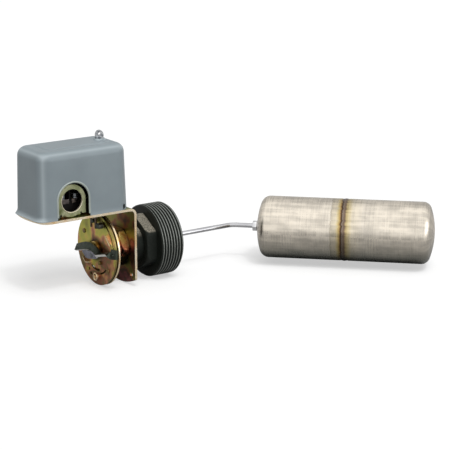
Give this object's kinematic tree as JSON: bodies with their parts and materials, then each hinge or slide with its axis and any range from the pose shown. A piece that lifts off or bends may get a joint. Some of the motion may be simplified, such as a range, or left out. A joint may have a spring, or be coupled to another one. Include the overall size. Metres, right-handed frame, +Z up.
{
  "type": "float level switch",
  "caption": "Screw-in tank level switch: a sealed float on a bent rod turns two discs that trip contacts under a painted cover on a folded bracket.",
  "frame": {"origin": "on the shaft axis, half way along the plug's pipe thread", "axes": "+X along the shaft into the tank, +Z up towards the cover, conduit holes face -Y and +Y"},
  "size_m": [0.4033, 0.2003, 0.1546],
  "materials": {
    "cover_paint": "smooth blue-grey enamel",
    "gold_chromate": "iridescent gold chromate on zinc",
    "olive_chromate": "olive chromate on zinc",
    "bright_zinc": "bright zinc",
    "grey_steel": "dull grey steel",
    "spring_steel": "drawn wire",
    "black_iron": "black oiled casting",
    "stainless": "brushed stainless, heat tinted at the weld",
    "brass": "turned brass",
    "bronze": "sintered bronze",
    "moulding": "dark phenolic moulding",
    "packing": "black seal rings"
  },
  "bodies": {
    "base": {"bracket": "gold_chromate", "conduit_frame": "olive_chromate", "frame_rivets": "olive_chromate", "contact_block": "moulding", "terminal_front_a": "brass", "terminal_front_b": "brass", "terminal_back_a": "brass", "terminal_back_b": "brass", "terminal_screws": "bright_zinc", "block_screws": "bright_zinc", "pivot_bracket": "olive_chromate", "pivot_rivets": "bright_zinc", "lever_pin": "bright_zinc", "cover_stud": "bright_zinc", "stud_nut": "bright_zinc", "bushing": "black_iron", "locknut": "gold_chromate", "jam_nut": "gold_chromate", "gland": "brass", "packing_ring_1": "packing", "packing_ring_2": "packing", "packing_ring_3": "packing", "shaft_bush": "bronze"},
    "cover": {"cover": "cover_paint"},
    "cover_nut": {"cover_nut": "bright_zinc"},
    "swing": {"rod": "stainless", "float": "stainless", "float_nut": "stainless", "hub": "brass", "front_disc": "gold_chromate", "back_disc": "gold_chromate", "disc_spacer": "gold_chromate", "disc_rivets": "grey_steel", "hub_nut": "brass", "twist_lever": "grey_steel", "lever_screw": "bright_zinc", "drive_pin": "grey_steel", "loop_pin": "grey_steel", "stop_boss": "grey_steel", "spring_post": "grey_steel", "coil_spring": "spring_steel"},
    "trip_lever": {"trip_lever": "grey_steel"},
    "carrier": {"contact_carrier": "moulding", "bridge_front": "brass", "bridge_back": "brass", "bridge_rivets": "brass"}
  },
  "joints": [
    {"name": "float_swing", "type": "hinge", "parent": "base", "child": "swing", "pos_m": [0, 0, 0], "axis": [1, 0, 0], "range_deg": [-25, 25]},
    {"name": "lever_rock", "type": "hinge", "parent": "base", "child": "trip_lever", "pos_m": [-0.057, 0, 0.052], "axis": [1, 0, 0], "range_deg": [-26.5, 26.5]},
    {"name": "carrier_slide", "type": "slide", "parent": "base", "child": "carrier", "axis": [0, 1, 0], "range_m": [-0.00345, 0.00345]},
    {"name": "cover_lift", "type": "slide", "parent": "base", "child": "cover", "axis": [0, 0, 1], "range_m": [0, 0.08]},
    {"name": "nut_turn", "type": "hinge", "parent": "cover", "child": "cover_nut", "pos_m": [-0.0486, 0, 0.112], "axis": [0, 0, 1], "continuous": true}
  ],
  "couplings": [
    {"joint": "lever_rock", "follows": "float_swing", "ratio": -1.05},
    {"joint": "carrier_slide", "follows": "float_swing", "m_per_rad": 0.00779}
  ]
}
